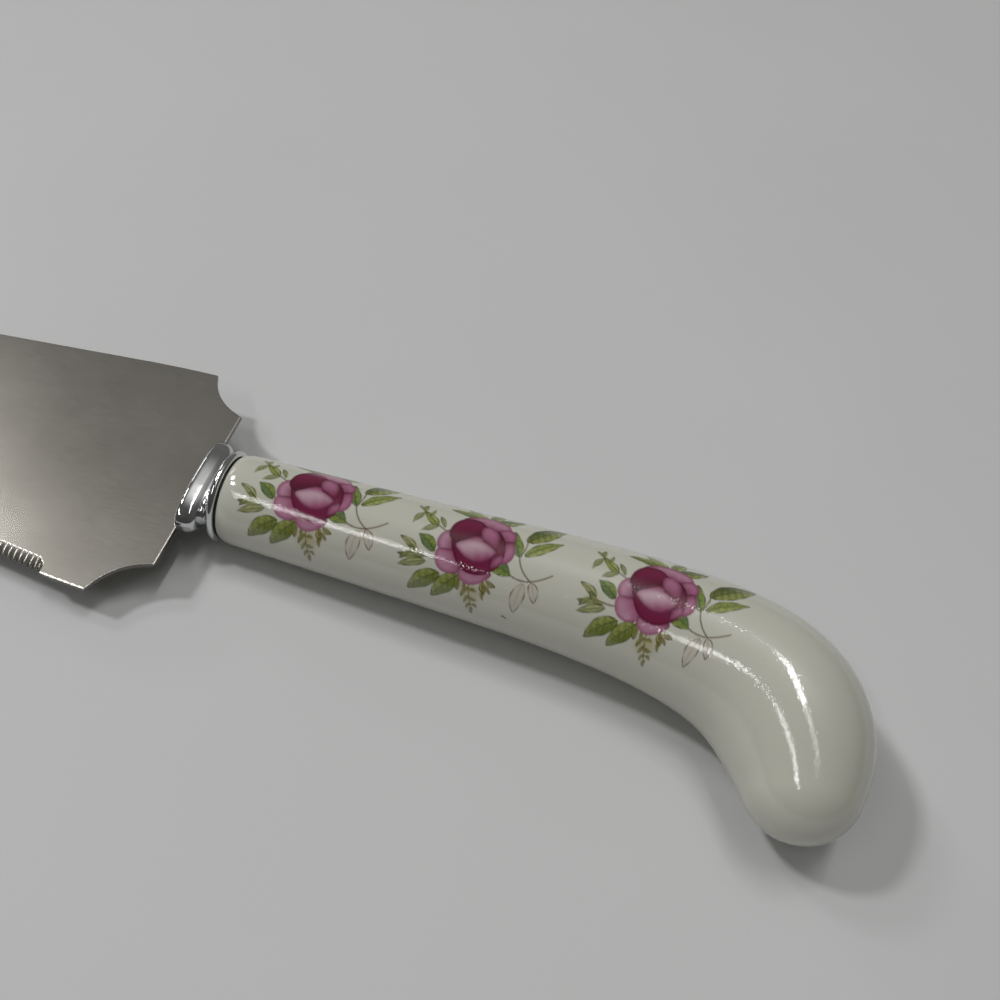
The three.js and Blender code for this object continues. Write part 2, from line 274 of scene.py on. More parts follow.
def smooth_through(places, values):
    """The natural cubic spline through values at places, as a function."""
    x, y = np.array(places, float), np.array(values, float)
    gap = np.diff(x)
    rise = np.diff(y) / gap
    system = np.eye(len(x))
    pull = np.zeros(len(x))
    for i in range(1, len(x) - 1):
        system[i, i - 1 : i + 2] = gap[i - 1], 2 * (gap[i - 1] + gap[i]), gap[i]
        pull[i] = 6 * (rise[i] - rise[i - 1])
    bow = np.linalg.solve(system, pull)

    def value(at):
        i = np.clip(np.searchsorted(x, at) - 1, 0, len(gap) - 1)
        before, after, width = at - x[i], x[i + 1] - at, gap[i]
        curve = (bow[i] * after**3 + bow[i + 1] * before**3) / (6 * width)
        left = (y[i] / width - bow[i] * width / 6) * after
        return curve + left + (y[i + 1] / width - bow[i + 1] * width / 6) * before

    return value


# Blade


def blade_side():
    """The upper side of the blade from its shoulder to its tip."""
    along = np.array([-1, -SIDE_TAPER])
    shoulder = np.array([-SHOULDER_SETBACK, SHOULDER_WIDTH / 2])
    knee = shoulder + SHOULDER_EASE * np.array([-1, -SHOULDER_TAPER])
    ease = quadratic(shoulder, knee, knee + SHOULDER_EASE * along)
    straight_end = knee + along * (SIDE_STRAIGHT_TO + knee[0])
    control = straight_end + along * TIP_REACH
    fullness = np.array([-BLADE_LENGTH, TIP_FULLNESS])
    tip = np.array([-BLADE_LENGTH, 0])
    curve = bezier(straight_end, control, fullness, tip)
    return Path(np.concatenate([ease, curve]))


def blade_notch():
    """The hollow corner from the heel to the shoulder."""
    heel = np.array([0, HEEL_WIDTH / 2])
    shoulder = np.array([-SHOULDER_SETBACK, SHOULDER_WIDTH / 2])
    chord = shoulder - heel
    inward = np.array([-chord[1], chord[0]]) / np.linalg.norm(chord)
    return quadratic(heel, (heel + shoulder) / 2 + inward * 2 * NOTCH_HOLLOW, shoulder, NOTCH_STEPS)


def edge_runs(side):
    """Runs along the side where the blade has a section, and the start, end and number of its flutes."""
    start, end = SERRATION_START, side.length - SERRATION_TO_TIP
    flutes = round((end - start) / FLUTE_PITCH)
    ground = np.linspace(start, end, flutes * STEPS_PER_FLUTE + 1)
    plain = np.linspace(0, start - EDGE_HOLD, PLAIN_EDGE_STEPS + 1)[1:]
    plain = np.append(plain, start - EDGE_HOLD / 3)
    to_tip = 1 - np.linspace(0, 1, TIP_STEPS + 1)[1:]
    tip = side.length - SERRATION_TO_TIP * to_tip**TIP_CROWDING
    return np.concatenate([plain, ground, tip]), start, end, flutes


def inward_normals(points):
    """Unit normals of the upper edge that point into the blade, mitred at corners."""
    step = np.diff(points, axis=0)
    step /= np.linalg.norm(step, axis=1, keepdims=True)
    normal = np.stack([-step[:, 1], step[:, 0]], axis=1)
    before = np.concatenate([normal[:1], normal])
    after = np.concatenate([normal, [[1, 0]]])
    mitre = before + after
    return 2 * mitre / np.sum(mitre**2, axis=1, keepdims=True)


def broken_edge(share, full, rolled):
    """Inset and drop of the broken upper edge, from its wall at share 0 to its face at share 1."""
    turn = math.pi / 2 * share
    roll = (EDGE_ROLL[0] * (1 - math.cos(turn)), EDGE_ROLL[1] * (1 - math.sin(turn)))
    chamfer = (EDGE_CHAMFER[0] * share, EDGE_CHAMFER[1] * (1 - share))
    lip = (GRIND_LIP[0] * share, GRIND_LIP[1] * (1 - share) ** 2)
    plain = [rolled * soft + (1 - rolled) * flat for soft, flat in zip(roll, chamfer)]
    return [bare * (1 - full) + ground * full for bare, ground in zip(plain, lip)]


def edge_section(deep, full, rolled):
    """Inset and height, row by row, from the under face round the edge to the upper face.

    deep is how far a flute sinks below the ridges, full runs from 0 where the edge is plain to 1 where it is
    ground to a slope, and rolled is 1 where the plain edge is rounded and 0 where it has a chamfer.
    """
    reach = GRIND_WIDTH / SHEET
    edge = full * (GRIND_SETBACK + deep * reach)
    top = full * (GRIND_SETBACK + GRIND_WIDTH + deep * reach * FLUTE_AT_TOP)
    low = EDGE_BREAK + (EDGE_LAND - EDGE_BREAK) * full

    knee = EDGE_KNEE * low
    rows = [(edge + EDGE_BREAK, np.full(len(edge), -HALF)), (edge + knee, -HALF + knee)]
    wall_height = SHEET - low - broken_edge(0, full, rolled)[1]
    for share in np.linspace(0, 1, WALL_STEPS + 1):
        bowed = share + full * GRIND_BOW * share * (1 - share)
        rows.append((edge + share * (top - edge), -HALF + low + bowed * wall_height))
    for share in np.linspace(0, 1, BREAK_STEPS + 1)[1:]:
        inset, drop = broken_edge(share, full, rolled)
        rows.append((top + inset, HALF - drop))
    rows.append((rows[-1][0] + EDGE_HOLD, rows[-1][1]))
    inset = np.stack([row[0] for row in rows], axis=1)
    height = np.stack([row[1] for row in rows], axis=1)
    return inset, height


def blade_rings():
    """Sections across the blade from the heel to the tip, each a ring round both edges and both faces."""
    side = blade_side()
    runs, start, end, flutes = edge_runs(side)
    notch = blade_notch()
    edge = np.concatenate([notch, side.at(runs)])
    run = np.concatenate([np.zeros(len(notch)), runs])
    normal = inward_normals(edge)

    to_end = np.minimum(run - start, end - run)
    short = np.clip(1 - to_end / GRIND_RUN_OUT, 0, 1)
    full = np.sqrt(1 - short**2)
    phase = (run - start) / (end - start) * flutes % 1
    deep = np.where(full > 0, FLUTE_DEPTH * (1 - (2 * phase - 1) ** 2), 0)

    def edge_points(inset, height, flip):
        flat = edge[:, None, :] + normal[:, None, :] * inset[:, :, None]
        return np.concatenate([flat * [1, flip], height[:, :, None]], axis=2)

    none = np.zeros(len(edge))
    waves = sum(size * np.sin(pace * run + shift) for size, pace, shift in EDGE_WEAR_WAVES)
    worn = EDGE_WEAR * np.clip(EDGE_WEAR_MEAN + waves, 0, 1)
    rolled = np.where(np.arange(len(edge)) < len(notch) - 1, 1.0, worn)
    lower = edge_points(*edge_section(deep, full, rolled), -1)
    upper = edge_points(*edge_section(none, none, none + 1), 1)[:, ::-1]
    share = np.linspace(0, 1, FACE_COLUMNS + 2)[1:-1][None, :, None]
    over = lower[:, -1:] * (1 - share) + upper[:, :1] * share
    under = upper[:, -1:] * (1 - share) + lower[:, :1] * share
    return np.concatenate([lower, over, upper, under], axis=1)


def heel_rings(ring):
    """Rings that round the heel's edge, from its flat wall to the first full section of the blade."""
    rings = []
    for turn in np.pi / 2 * np.linspace(0, 1, HEEL_STEPS + 1):
        inset, drop = HEEL_ROLL[0] * (1 - math.cos(turn)), HEEL_ROLL[1] * (1 - math.sin(turn))
        drawn = ring.copy()
        drawn[:, 0] = -inset
        drawn[:, 2] = np.clip(drawn[:, 2], drop - HALF, HALF - drop)
        rings.append(drawn)
    return np.stack(rings)


def make_blade(material):
    """The blade, whose rounded heel takes the place of its first two sections."""
    rings = blade_rings()
    points, faces = loft(np.concatenate([heel_rings(rings[0]), rings[2:]]))
    return make_piece("steel_blade", points, faces, material, "blade", sharp_angle=20)


def make_tang(material):
    """The flat tang with broken edges and round key notches in both sides."""
    places = [0, TANG_LENGTH - EDGE_BREAK, TANG_LENGTH]
    notch_turns = np.linspace(0, np.pi, KEY_NOTCH_STEPS + 1)
    for from_end in KEY_NOTCHES_FROM_END:
        places.extend(TANG_LENGTH - from_end - KEY_NOTCH_RADIUS * np.cos(notch_turns))
    x = np.array(sorted(places))
    half_width = np.full(len(x), TANG_WIDTH / 2)
    for from_end in KEY_NOTCHES_FROM_END:
        off = (x - TANG_LENGTH + from_end) / KEY_NOTCH_RADIUS
        half_width -= KEY_NOTCH_RADIUS * np.sqrt(np.clip(1 - off**2, 0, None))
    half_width[-1] -= EDGE_BREAK
    corners = ((1, -1), (1, 1), (-1, 1), (-1, -1))
    rings = []
    for place, half in zip(x, half_width):
        ring = []
        for turn, (y, z) in enumerate(corners):
            wall = (place, y * half, z * (HALF - EDGE_BREAK))
            face = (place, y * (half - EDGE_BREAK), z * HALF)
            ring.extend((face, wall) if turn % 2 == 0 else (wall, face))
        rings.append(ring)
    points, faces = loft(np.array(rings))
    return make_piece("steel_tang", points, faces, material, "blade", sharp_angle=40)


# Bolster


def bulge(value, squareness):
    """A sine or cosine that makes an oval of the given squareness, 2 for an ellipse."""
    return np.sign(value) * np.abs(value) ** (2 / squareness)


def oval_ring(x, half_width, half_height, squareness=2, offset=0, sides=160):
    turn = np.linspace(0, 2 * np.pi, sides, endpoint=False)
    y = offset + half_width * bulge(np.cos(turn), squareness)
    z = half_height * bulge(np.sin(turn), squareness)
    return np.stack([np.full(sides, x), y, z], axis=1)


def bead_height(x):
    """Half the height of the bead, which falls by slopes from its crown to the waist."""
    places, slopes = np.array(BEAD_SLOPES).T
    steps = np.linspace(places[0], x, SLOPE_SAMPLES)
    return BEAD_HEIGHT / 2 - (x - places[0]) * np.interp(steps, places, slopes).mean()


def bead_rings():
    """The bead from its rounded front edge over its crown, whose top falls to the waist."""
    half_width, half_height, half_waist = BEAD_WIDTH / 2, BEAD_HEIGHT / 2, WAIST_WIDTH / 2
    rings = []
    for turn in np.radians(np.linspace(0, 90, BEAD_EDGE_STEPS + 1)):
        inset = BEAD_EDGE_ROUND * (1 - math.sin(turn))
        x = BEAD_FRONT + BEAD_EDGE_ROUND * (1 - math.cos(turn))
        ring = oval_ring(x, half_width - inset, half_height - inset, BEAD_SQUARENESS, BEAD_OFFSET)
        rings.append(ring)
    crown = BEAD_FRONT + BEAD_EDGE_ROUND
    for share in np.sin(np.radians(np.linspace(0, 90, BEAD_STEPS + 1)[1:])):
        x = crown + (WAIST_PLACE - crown) * share
        width = half_waist + (half_width - half_waist) * math.sqrt(1 - share**BEAD_FULLNESS)
        offset = BEAD_OFFSET * (1 - share**BEAD_OFFSET_FADE)
        rings.append(oval_ring(x, width, bead_height(x), BEAD_SQUARENESS, offset))
    return rings


def cove_rings():
    """The hollow from the waist to the rim, which turns from the bead's oval to a circle."""
    half_waist, waist_height = WAIST_WIDTH / 2, bead_height(WAIST_PLACE)
    rim_start = RIM_RADIUS - RIM_ROUND
    rings = []
    for share in np.linspace(0, 1, COVE_STEPS + 1)[1:]:
        rise = 1 - math.sqrt(1 - share * share)
        width = half_waist + (rim_start - half_waist) * rise
        height = waist_height + (rim_start - waist_height) * rise
        squareness = BEAD_SQUARENESS + (2 - BEAD_SQUARENESS) * share
        rings.append(oval_ring(WAIST_PLACE + COVE_LENGTH * share, width, height, squareness))
    return rings


def rim_rings():
    """The round rim and the spigot behind it."""
    rings = []
    for turn in np.radians(np.linspace(0, 180, RIM_STEPS + 1))[1:]:
        radius = RIM_RADIUS - RIM_ROUND * (1 - math.sin(turn))
        rings.append(oval_ring(RIM_FRONT + RIM_ROUND * (1 - math.cos(turn)), radius, radius))
    rings.append(oval_ring(RIM_BACK, SPIGOT_RADIUS, SPIGOT_RADIUS))
    rings.append(oval_ring(SPIGOT_END, SPIGOT_RADIUS, SPIGOT_RADIUS))
    return rings


def make_bolster(material):
    points, faces = loft(np.stack([*bead_rings(), *cove_rings(), *rim_rings()]))
    return make_piece("chrome_bolster", points, faces, material, "bolster", sharp_angle=40)


# Joint


def make_joint(material):
    """The ring of set resin, whose outside is slightly hollow between the rim and the porcelain."""
    outer = MOUTH_DIAMETER / 2 - JOINT_INSET
    front = RIM_BACK + SEAT_GAP
    share = np.linspace(0, 1, JOINT_STEPS + 1)
    radius = outer - JOINT_HOLLOW * (1 - (2 * share - 1) ** 2)
    profile = [(front, CAVITY_RADIUS)]
    profile.extend(zip(front + JOINT_THICKNESS * share, radius))
    profile.append((front + JOINT_THICKNESS, CAVITY_RADIUS))
    rings = np.stack([oval_ring(x, r, r) for x, r in profile])
    points, faces = loft(rings)
    around = rings.shape[1]
    last = (len(rings) - 1) * around
    end_caps = 2
    faces = faces[:-end_caps]
    for j in range(around):
        k = (j + 1) % around
        faces.append([j, k, last + k, last + j])
    return make_piece("resin_joint", points, faces, material, "joint_ring", sharp_angle=40)


# Handle


def handle_path():
    """The middle line of the handle: straight in the grip, then bent down into the bulb."""
    start = np.array([MOUTH_PLACE + GRIP_STRAIGHT, 0])
    end = start + [BEND_REACH, -BEND_DROP]
    into_bulb = end + BULB_ARM * np.array([-math.sin(BULB_TILT), math.cos(BULB_TILT)])
    curve = bezier(start, start + [GRIP_ARM, 0], into_bulb, end)
    return Path(np.concatenate([[[MOUTH_PLACE, 0]], curve]))


def ball_size(path):
    """Radius of the balls whose envelope is the outside of the handle, at any run along its middle."""
    stops = [(0, MOUTH_DIAMETER), *FRONT_STOPS]
    stops += [(path.length - from_butt, diameter) for from_butt, diameter in REAR_STOPS]
    return smooth_through([run for run, _ in stops], [diameter / 2 for _, diameter in stops])


# The grid of the handle is fine where the transfers are, about as fine as their thinnest lines
PAINT_RUNS = (LIP_LENGTH, 88)
PAINT_STEP = 0.172
PAINT_TURNS = np.radians((18, 178))
PAINT_TURN_STEP = 0.0192
PLAIN_STEP = 0.7
PLAIN_TURN_STEP = 0.06
UNPAINTED = -1.0


def stepped(start, end, step):
    """Even steps from start to end, as near to the given step as they fit."""
    return np.linspace(start, end, max(2, round((end - start) / step) + 1))


def handle_runs(path):
    front, back = PAINT_RUNS
    plain = stepped(back, path.length, PLAIN_STEP)[1:]
    return np.concatenate([stepped(front, back, PAINT_STEP), plain])


def handle_turns():
    """Turns round the handle, from the side away from the bend over the top to the side of the bend."""
    near, far = PAINT_TURNS
    plain = stepped(far, near + 2 * np.pi, PLAIN_TURN_STEP)[1:-1]
    return np.concatenate([stepped(near, far, PAINT_TURN_STEP), plain])


def touch_rings(path, runs, size, slope, turns):
    """Rings where balls of the given size, which grow by slope along the path, touch their envelope."""
    centre = path.at(runs)
    ahead = path.ahead(runs, AHEAD_REACH)
    left = np.stack([-ahead[:, 1], ahead[:, 0]], axis=1)
    shifted = centre - ahead * (size * slope)[:, None]
    radius = size * np.sqrt(np.clip(1 - slope**2, 0, None))
    flat = shifted[:, None, :] + left[:, None, :] * (radius[:, None] * np.cos(turns))[:, :, None]
    height = radius[:, None] * np.sin(turns)
    return np.concatenate([flat, height[:, :, None]], axis=2), radius


def envelope(path, runs, turns, inset, cap_steps):
    """Rings of the handle's skin drawn in by inset, the radius of each, and the pole that closes its butt."""
    size_at = ball_size(path)
    growth = (size_at(runs + GROWTH_REACH) - size_at(runs - GROWTH_REACH)) / (2 * GROWTH_REACH)
    rings, radius = touch_rings(path, runs, size_at(runs) - inset, growth, turns)
    butt = size_at(np.array([path.length]))[0] - inset
    lifts = np.linspace(math.asin(-growth[-1]), np.pi / 2, cap_steps + 1)[1:-1]
    ends = np.full(len(lifts), path.length)
    cap, cap_radius = touch_rings(path, ends, np.full(len(lifts), butt), -np.sin(lifts), turns)
    flat = path.at(path.length) + path.ahead(path.length) * butt
    pole = np.append(flat, 0)
    return np.concatenate([rings, cap]), np.concatenate([radius, cap_radius]), pole


def circle_rings(x, radius, turns):
    """Circles round the x axis at the given places."""
    centre = np.broadcast_to(np.asarray(x, float)[:, None], (len(x), len(turns)))
    radius = np.asarray(radius, float)[:, None]
    return np.stack([centre, radius * np.cos(turns), radius * np.sin(turns)], axis=2)


def lip_rings(path, turns):
    """The rounded lip from the flat end of the porcelain to its outside."""
    quarter = np.linspace(0, LIP_TURN, LIP_STEPS + 1)
    reach = LIP_LENGTH * (1 - np.cos(quarter))
    radius = ball_size(path)(reach) - LIP_DROP * (1 - np.sin(quarter))
    return circle_rings(MOUTH_PLACE + reach, radius, turns)


def make_handle(material):
    """The hollow handle as one skin, from the end of its cavity over its lip to the end of its bulb."""
    path = handle_path()
    turns = handle_turns()
    runs = handle_runs(path)
    outside, radius, pole = envelope(path, runs, turns, 0, CAP_STEPS)
    cavity_runs = stepped(0, path.length, CAVITY_STEP)
    inside, _, inner_pole = envelope(path, cavity_runs, turns, PORCELAIN_WALL, CAVITY_CAP_STEPS)
    lip = lip_rings(path, turns)
    rings = np.concatenate([inside[::-1], lip, outside])
    points, faces = loft(rings, inner_pole, pole)
    handle = make_piece("porcelain_handle", points, faces, material, "handle", sharp_angle=60)
    paint_outside(handle, points, turns, runs, radius)
    return handle


def paint_outside(handle, points, turns, runs, radius):
    """Finds the run along the handle and the way over its side of every point, and paints there.

    The points come in rings, the bare ones of the cavity and the lip first. Points that the transfers can't
    reach have a run of UNPAINTED, and the poles at the ends come last.
    """
    poles = 2
    rings = (len(points) - poles) // len(turns)
    bare = rings - len(radius)
    cap = len(radius) - len(runs)
    ring_runs = np.concatenate([np.full(bare, UNPAINTED), runs, np.full(cap, UNPAINTED)])
    ring_radius = np.concatenate([np.zeros(bare), radius])
    over = ((turns[None, :] - np.pi / 2) * ring_radius[:, None]).ravel()
    run = np.append(np.repeat(ring_runs, len(turns)), np.full(poles, UNPAINTED))
    paint_glaze(handle.data, run, np.append(over, np.zeros(poles)))


# Transfers: rose sprays fired into the glaze, drawn in millimetres, x along the handle and y over its side

GLAZE = np.array([0.603, 0.596, 0.514])
SPRAY_PLACES = ((15.3, 1.0), (43.1, 2.4), (72.8, 2.1))
SPRAY_REACH = 14.5
SOFT_EDGE = 0.12

DEEP_CRIMSON = np.array([0.085, 0.004, 0.020])
CRIMSON = np.array([0.175, 0.011, 0.052])
ROSE = np.array([0.28, 0.045, 0.125])
MAUVE = np.array([0.40, 0.150, 0.255])
BLUSH = np.array([0.47, 0.235, 0.330])
PALE_BLUSH = np.array([0.53, 0.350, 0.415])
DARK_LEAF = np.array([0.045, 0.062, 0.015])
LEAF = np.array([0.150, 0.190, 0.034])
LIGHT_LEAF = np.array([0.33, 0.355, 0.100])
PALE_LEAF = np.array([0.42, 0.430, 0.175])
BLUE_LEAF = np.array([0.120, 0.185, 0.075])
OLIVE = np.array([0.205, 0.180, 0.030])
GOLD = np.array([0.37, 0.325, 0.085])
BROWN = np.array([0.135, 0.080, 0.042])
STEM_GREEN = np.array([0.110, 0.100, 0.030])
TAN = np.array([0.51, 0.430, 0.345])

# Colour in the shaded half, colour in the light half, colour of the lines and cover of the fill, leaf by leaf
BROAD = (LEAF, LIGHT_LEAF, DARK_LEAF, 1)
SHADED = (DARK_LEAF * 1.8, LIGHT_LEAF, DARK_LEAF, 1)
BRIGHT = (LEAF * 1.5, LIGHT_LEAF * 1.1, DARK_LEAF, 0.95)
COOL = (BLUE_LEAF, LEAF * 1.6, DARK_LEAF, 1)
PALE = (LIGHT_LEAF * 0.8, PALE_LEAF, DARK_LEAF, 0.85)
GOLDEN = (OLIVE, GOLD, OLIVE * 0.45, 0.8)
GHOST = (TAN, TAN, BROWN, 0.35)

# Base, tip, width, bow to the left and colours of each leaf, the lower layer first
LEAVES = (
    ((0.0, -6.8), (-6.0, -7.4), 1.8, 0.3, BROAD),
    ((0.5, -7.0), (-3.4, -9.8), 1.7, -0.2, BRIGHT),
    ((1.0, -7.2), (2.6, -10.8), 1.9, 0.2, BROAD),
    ((2.0, -6.8), (6.4, -9.7), 2.1, 0.3, SHADED),
    ((7.4, -0.7), (5.4, -5.6), 2.1, -0.3, COOL),
    ((7.7, -3.8), (13.3, -11.2), 3.1, 0.2, SHADED),
    ((8.0, -1.1), (13.5, -5.5), 1.9, -0.2, BRIGHT),
    ((9.0, 3.2), (8.6, 8.4), 2.2, 0.2, GHOST),
    ((10.2, 2.7), (11.5, 5.9), 1.6, -0.2, GHOST),
    ((-4.4, 4.9), (-9.0, 9.2), 3.0, 0.4, BROAD),
    ((-1.2, 4.4), (-5.0, 9.5), 3.0, 0.3, BROAD),
    ((-8.8, 2.4), (-12.0, 0.7), 1.2, 0.2, PALE),
    ((-7.4, 3.1), (-11.8, 3.5), 1.0, -0.1, PALE),
    ((-6.9, 3.6), (-11.4, 5.3), 1.3, 0.1, PALE),
    ((-9.6, 2.6), (-11.2, 4.3), 0.8, 0.1, PALE),
    ((-8.2, 3.4), (-10.2, 1.7), 0.8, -0.1, PALE),
    ((-6.0, 1.8), (-9.3, -0.4), 2.0, 0.3, COOL),
    ((-9.4, -4.7), (-10.9, -1.9), 0.9, 0.2, PALE),
    ((-6.7, -2.6), (-9.5, -4.9), 1.5, -0.1, BRIGHT),
    ((-6.6, -2.5), (-9.2, -1.0), 0.9, 0.1, PALE),
    ((-5.6, -2.5), (-6.9, -4.6), 0.8, 0.1, PALE),
    ((-9.5, -4.9), (-10.9, -5.9), 0.7, 0.1, PALE),
    ((-9.6, -4.6), (-9.6, -6.6), 0.8, -0.1, PALE),
    ((-8.6, -4.1), (-8.1, -5.8), 0.6, 0.1, PALE),
    ((3.4, 2.0), (6.8, 2.6), 2.3, -0.5, COOL),
    ((2.7, 4.4), (3.5, 6.6), 1.0, 0.2, GOLDEN),
    ((3.0, 5.2), (4.3, 6.2), 0.7, -0.1, GOLDEN),
    ((3.2, 4.2), (4.9, 4.9), 0.9, 0.2, GOLDEN),
    ((3.0, 6.0), (3.4, 7.6), 0.6, 0.1, GOLDEN),
    ((-0.9, 5.1), (-1.0, 7.0), 0.9, 0.2, GOLDEN),
    ((-0.2, 5.4), (-0.1, 6.6), 0.6, -0.1, GOLDEN),
    ((0.7, 6.0), (-0.2, 7.9), 0.7, 0.2, GOLDEN),
    ((1.0, 6.3), (2.1, 6.4), 0.6, -0.1, GOLDEN),
    ((1.1, 7.3), (0.5, 8.9), 0.6, 0.1, GOLDEN),
    ((1.3, 7.7), (2.5, 7.9), 0.7, 0.2, GOLDEN),
    ((1.6, 8.7), (1.1, 10.1), 0.6, 0.2, GOLDEN),
    ((1.8, 8.8), (2.7, 9.5), 0.6, -0.2, GOLDEN),
    ((1.9, 9.5), (2.0, 11.0), 0.7, 0.1, GOLDEN),
)

# Form of a leaf, and the distances over which its tone, outline, midrib and veins come and go
LEAF_WIDEST = 0.8
LEAF_FULLNESS = 0.85
LEAF_TONE = (-0.4, 0.3)
LEAF_OUTLINE = (-0.14, 0.0)
LEAF_OUTLINE_END = (0.07, 0.22)
LEAF_RIB = (0.06, 0.18)
VEINED_FROM = 1.7
VEIN_SPACING = 0.85
VEIN_LEAN = 0.8
VEIN_LINE = (0.06, 0.22)
VEIN_END = (0.1, 0.42)

# Start, bend, end and colour of each stem
STEMS = (
    ((7.3, -0.9), (7.8, 1.4), (10.2, 2.7), STEM_GREEN),
    ((6.6, 2.4), (9.6, 3.8), (13.2, 0.8), BROWN),
    ((7.4, -0.9), (8.0, -2.4), (7.9, -3.8), STEM_GREEN),
    ((-4.6, -1.8), (-7.4, -2.6), (-9.8, -5.2), STEM_GREEN),
    ((-5.6, 2.9), (-7.4, 3.2), (-9.8, 2.4), STEM_GREEN),
    ((0.6, 5.2), (1.0, 7.6), (1.9, 9.8), OLIVE),
    ((2.2, 4.0), (2.9, 5.0), (3.2, 6.9), OLIVE),
)
STEM_WIDTH = 0.2
STEM_COVER = 0.85
STEM_STEPS = 40

# Middle, radius, colour and cover of soft washes of colour under the leaves
WASHES = (
    ((1.2, 7.0), 2.8, GOLD, 0.5),
    ((-9.2, 2.6), 2.4, PALE_LEAF, 0.25),
    ((-8.8, -3.6), 2.2, PALE_LEAF, 0.2),
)
WASH_CORE = 0.2

# Outline, colour in the fold, colour at the lip and the direction of the lip of each petal
PETALS = (
    (
        ((-3.2, -5.2), (-1.4, -7.0), (1.6, -7.5), (4.2, -6.6), (4.4, -4.6), (0, -4.2)),
        CRIMSON, BLUSH, (0.2, -1),
    ),
    (
        ((3.0, -4.6), (4.6, -5.6), (5.9, -4.4), (5.6, -2.6), (3.8, -2.2)),
        CRIMSON, MAUVE, (0.6, -1),
    ),
    (
        ((3.8, -2.2), (5.6, -3.1), (6.4, -1.3), (6.1, 0.3), (4.9, 1.1), (3.8, 0)),
        CRIMSON, MAUVE, (1, 0.4),
    ),
    (
        ((-4.2, -2.6), (-5.8, -1.4), (-6.0, 0.5), (-4.8, 1.6), (-3.0, 1.0), (-3.0, -1.2)),
        CRIMSON, BLUSH, (-1, 0),
    ),
    (
        ((-5.6, 1.2), (-5.5, 3.3), (-4.2, 4.5), (-2.2, 4.5), (-0.6, 3.2), (-2.4, 1.0)),
        ROSE, BLUSH, (-0.8, 0.7),
    ),
    (
        ((-1.6, 3.4), (-1.0, 5.0), (0.7, 5.6), (2.6, 4.7), (3.7, 3.0), (0.8, 2.2)),
        ROSE, BLUSH, (0, 1),
    ),
    (
        ((-4.0, -2.0), (-2.8, 1.8), (-0.5, 3.7), (2.4, 3.5), (4.6, 1.5), (4.8, -1.4), (3.2, -4.2), (-1, -5)),
        DEEP_CRIMSON, CRIMSON, (0.3, 1),
    ),
    (
        ((-4.6, -1.6), (-4.4, -3.8), (-2.9, -5.6), (-0.7, -6.0), (0.7, -4.7), (-0.1, -2.2), (-1.6, -0.9),
         (-3.3, -0.5)),
        DEEP_CRIMSON, CRIMSON, (-0.3, -1),
    ),
    (
        ((-1.8, -1.2), (-0.5, -2.6), (0.9, -2.4), (0.6, -1.4)),
        CRIMSON, MAUVE, (0.3, 1),
    ),
    (
        ((0.3, -4.3), (1.5, -5.0), (3.0, -4.0), (3.7, -2.2), (3.5, -0.8), (2.0, -1.5), (0.6, -2.4)),
        CRIMSON, MAUVE, (-0.2, -1),
    ),
    (
        ((2.9, 0.6), (4.3, -0.3), (5.0, 0.6), (4.2, 1.7), (3.2, 2.2)),
        CRIMSON, MAUVE, (1, 0.3),
    ),
    (
        ((-3.0, -0.3), (-1.5, -1.4), (0.2, -1.8), (1.9, -1.4), (3.5, -0.5), (2.7, 1.0), (1.1, 1.9),
         (-0.7, 1.7), (-2.1, 0.8)),
        ROSE, PALE_BLUSH, (-0.4, -1),
    ),
)

# Place along the handle, place over its side and size of dark specks in the glaze
KILN_SPECKS = ((50.3, 12.0, 0.36), (50.75, 12.2, 0.3), (97.0, 3.0, 0.1))
SPECK_COVER = 0.8


def ramp(value, low, high):
    """A soft step from 0 at low to 1 at high."""
    share = np.clip((value - low) / (high - low), 0, 1)
    return share * share * (3 - 2 * share)


def lay(canvas, colour, cover):
    """Lays a colour over the canvas, where it covers it."""
    canvas += (colour - canvas) * cover[:, None]


def mixed(first, second, share):
    return first + (second - first) * share[:, None]


def draw_leaf(canvas, x, y, base, tip, width, bow, colours):
    """A pointed leaf with a shaded half, a midrib, side veins if it is broad, and a broken outline."""
    base, tip = np.array(base), np.array(tip)
    length = np.linalg.norm(tip - base)
    ahead = (tip - base) / length
    along = ((x - base[0]) * ahead[0] + (y - base[1]) * ahead[1]) / length
    across = (y - base[1]) * ahead[0] - (x - base[0]) * ahead[1]
    share = np.clip(along, 0, 1)
    across = across - bow * 4 * share * (1 - share)
    half = width / 2 * np.sin(np.pi * share**LEAF_WIDEST) ** LEAF_FULLNESS
    depth = np.where((along > 0) & (along < 1), half - np.abs(across), -1)
    dark, light, line, filled = colours
    cover = ramp(depth, -SOFT_EDGE / 2, SOFT_EDGE)
    mottle = 0.75 + 0.25 * np.sin(5 * along * length + 3 * across)
    tone = ramp(across / width, *LEAF_TONE) * mottle
    lay(canvas, mixed(dark, light, tone), cover * filled)
    broken = 0.65 + 0.35 * np.sin(2.6 * along * length + 4 * width)
    outline = ramp(depth, *LEAF_OUTLINE) * (1 - ramp(depth, *LEAF_OUTLINE_END)) * broken
    rib = (1 - ramp(np.abs(across), *LEAF_RIB)) * cover * (1 - 0.6 * share)
    strokes = np.maximum(0.95 * outline, 0.85 * rib * filled)
    if width > VEINED_FROM and filled > 0.5:
        wander = 0.25 * np.sin(2.3 * along * length + 5 * width) + 0.3 * np.sign(across)
        beat = np.abs((along * length - VEIN_LEAN * np.abs(across)) / VEIN_SPACING + wander) % 1 - 0.5
        veins = (1 - ramp(np.abs(beat), *VEIN_LINE)) * (1 - ramp(np.abs(across) / width, *VEIN_END))
        strokes = np.maximum(strokes, 0.5 * veins * cover)
    lay(canvas, line, strokes)


